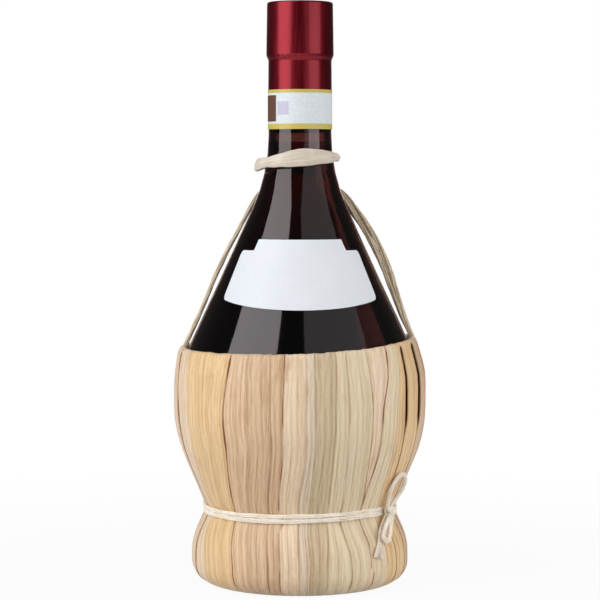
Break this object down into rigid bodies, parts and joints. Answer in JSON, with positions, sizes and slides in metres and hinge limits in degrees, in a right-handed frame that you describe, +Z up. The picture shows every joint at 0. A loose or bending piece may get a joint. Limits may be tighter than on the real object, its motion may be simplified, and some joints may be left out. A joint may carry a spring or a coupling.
{
  "type": "wine flask",
  "caption": "Round-shouldered wine flask of dark glass in a skirt of folded straw leaves tied at the waist, with a cord handle and a cork under a lift-off foil cap.",
  "frame": {"origin": "centre of the foot on the ground", "axes": "+Z up through the mouth, -Y towards the front label, +X to the label's right"},
  "size_m": [0.1112, 0.1106, 0.255],
  "materials": {
    "bottle_glass": "dark brown-green bottle glass, smooth and glossy",
    "red_wine": "clear deep red liquid",
    "cork": "natural cork, fine dark pores",
    "wine_red_foil": "satin wine-red lacquered foil",
    "band_paper": "pale grey paper with gold edge stripes, no lettering",
    "label_paper": "smooth off-white paper, left bare",
    "straw_leaf": "dried flat leaf, fine lengthwise fibres, satin",
    "cane": "split cane",
    "twisted_straw": "twisted straw, matte",
    "fibre_string": "loosely twisted pale plant fibre",
    "handle_fibre": "flattened and rolled plant fibre, satin"
  },
  "bodies": {
    "bottle": {"bow_fold": "fibre_string", "bow_knot": "fibre_string", "bow_loop": "fibre_string", "bow_tail": "fibre_string", "capsule_skirt": "wine_red_foil", "flask": "bottle_glass", "foot_pad": "twisted_straw", "front_label": "label_paper", "handle_strap_left": "handle_fibre", "handle_strap_right": "handle_fibre", "neck_band": "band_paper", "neck_loop": "handle_fibre", "rim_hoop": "cane", "straw_leaf_01": "straw_leaf", "straw_leaf_02": "straw_leaf", "straw_leaf_03": "straw_leaf", "straw_leaf_04": "straw_leaf", "straw_leaf_05": "straw_leaf", "straw_leaf_06": "straw_leaf", "straw_leaf_07": "straw_leaf", "straw_leaf_08": "straw_leaf", "straw_leaf_09": "straw_leaf", "straw_leaf_10": "straw_leaf", "straw_leaf_11": "straw_leaf", "straw_leaf_12": "straw_leaf", "straw_leaf_13": "straw_leaf", "straw_leaf_14": "straw_leaf", "straw_leaf_15": "straw_leaf", "straw_leaf_16": "straw_leaf", "straw_leaf_17": "straw_leaf", "straw_leaf_18": "straw_leaf", "straw_leaf_19": "straw_leaf", "straw_leaf_20": "straw_leaf", "straw_leaf_21": "straw_leaf", "straw_leaf_22": "straw_leaf", "straw_leaf_23": "straw_leaf", "straw_leaf_24": "straw_leaf", "straw_leaf_25": "straw_leaf", "waist_string": "fibre_string", "wine": "red_wine"},
    "cork": {"cork": "cork"},
    "capsule": {"capsule_cap": "wine_red_foil", "capsule_disc": "wine_red_foil"}
  },
  "joints": [
    {"name": "cork_pull", "type": "slide", "parent": "bottle", "child": "cork", "axis": [0, 0, 1], "range_m": [0, 0.05]},
    {"name": "capsule_lift", "type": "slide", "parent": "cork", "child": "capsule", "axis": [0, 0, 1], "range_m": [0, 0.04]}
  ]
}
